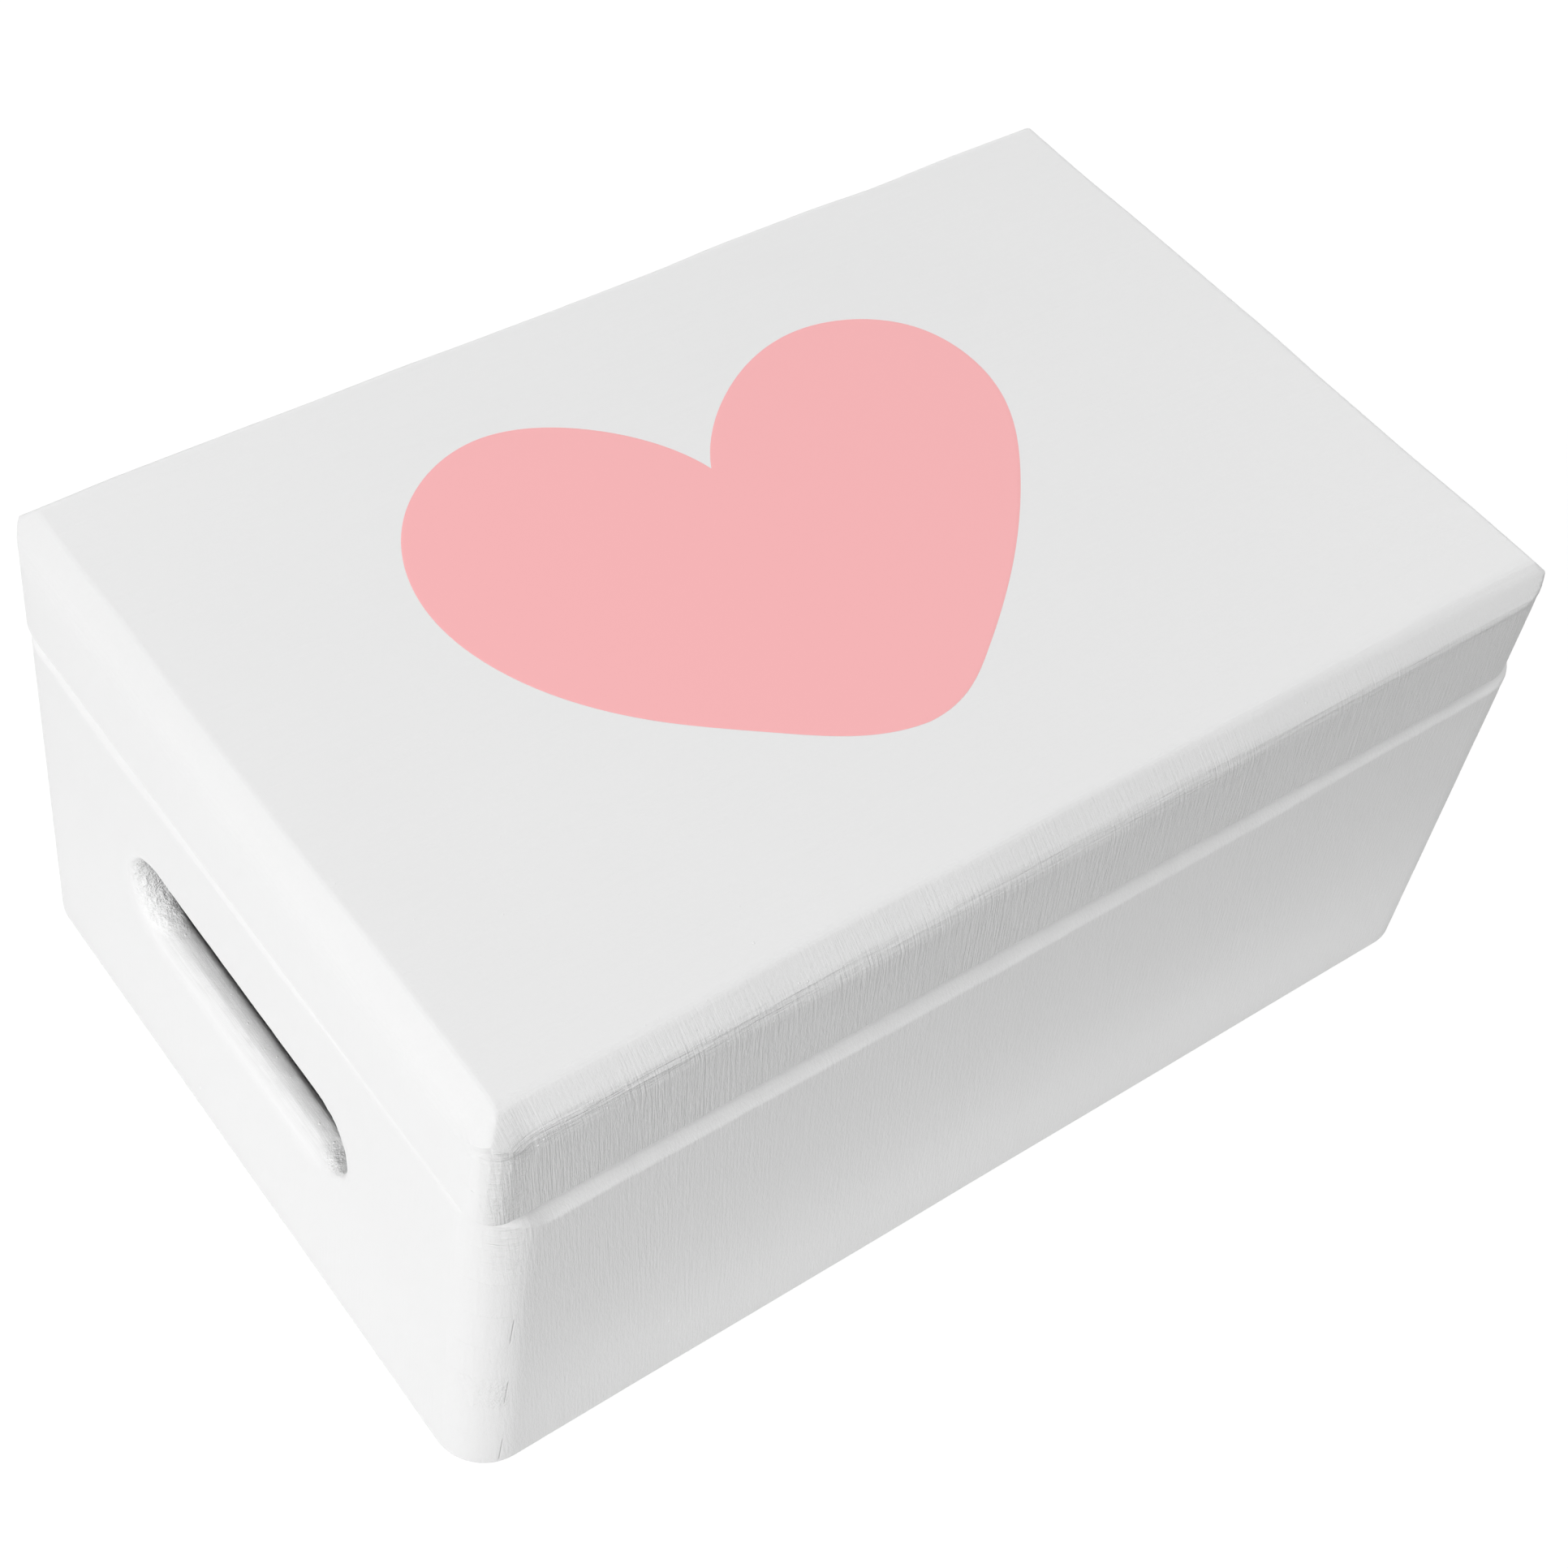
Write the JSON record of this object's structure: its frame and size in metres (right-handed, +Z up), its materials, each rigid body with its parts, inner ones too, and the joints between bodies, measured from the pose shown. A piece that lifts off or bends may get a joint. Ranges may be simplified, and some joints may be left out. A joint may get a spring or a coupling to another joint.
{
  "type": "wooden box",
  "caption": "Lidded keepsake box of painted finger-jointed boards, with rounded corners, a hand hole in each end and a lid hinged at the back.",
  "frame": {"origin": "middle of the base, on the plane that the box stands on", "axes": "+X along the front to the right, +Y from the front to the hinged back, +Z up"},
  "size_m": [0.3012, 0.1985, 0.1372],
  "materials": {
    "painted_pine": "white paint, brushed on by hand over pine, satin",
    "plywood": "thin white paint over plywood",
    "heart_film": "smooth matt pink film",
    "hinge_brass": "plain brass, slightly worn",
    "panel_pin_steel": "plain steel"
  },
  "bodies": {
    "box": {"front_wall": "painted_pine", "back_wall": "painted_pine", "left_wall": "painted_pine", "right_wall": "painted_pine", "bottom_panel": "plywood", "bottom_pins": "panel_pin_steel", "left_hinge_body_leaf": "hinge_brass", "left_hinge_pin": "hinge_brass", "left_hinge_body_screws": "hinge_brass", "right_hinge_body_leaf": "hinge_brass", "right_hinge_pin": "hinge_brass", "right_hinge_body_screws": "hinge_brass"},
    "lid": {"lid_board": "painted_pine", "lid_front_rail": "painted_pine", "lid_back_rail": "painted_pine", "lid_left_rail": "painted_pine", "lid_right_rail": "painted_pine", "heart_film": "heart_film", "left_hinge_lid_leaf": "hinge_brass", "left_hinge_lid_screws": "hinge_brass", "right_hinge_lid_leaf": "hinge_brass", "right_hinge_lid_screws": "hinge_brass"}
  },
  "joints": [
    {"name": "lid_hinge", "type": "hinge", "parent": "box", "child": "lid", "pos_m": [0, 0.0973, 0.10495], "axis": [-1, 0, 0], "range_deg": [0, 102]}
  ]
}
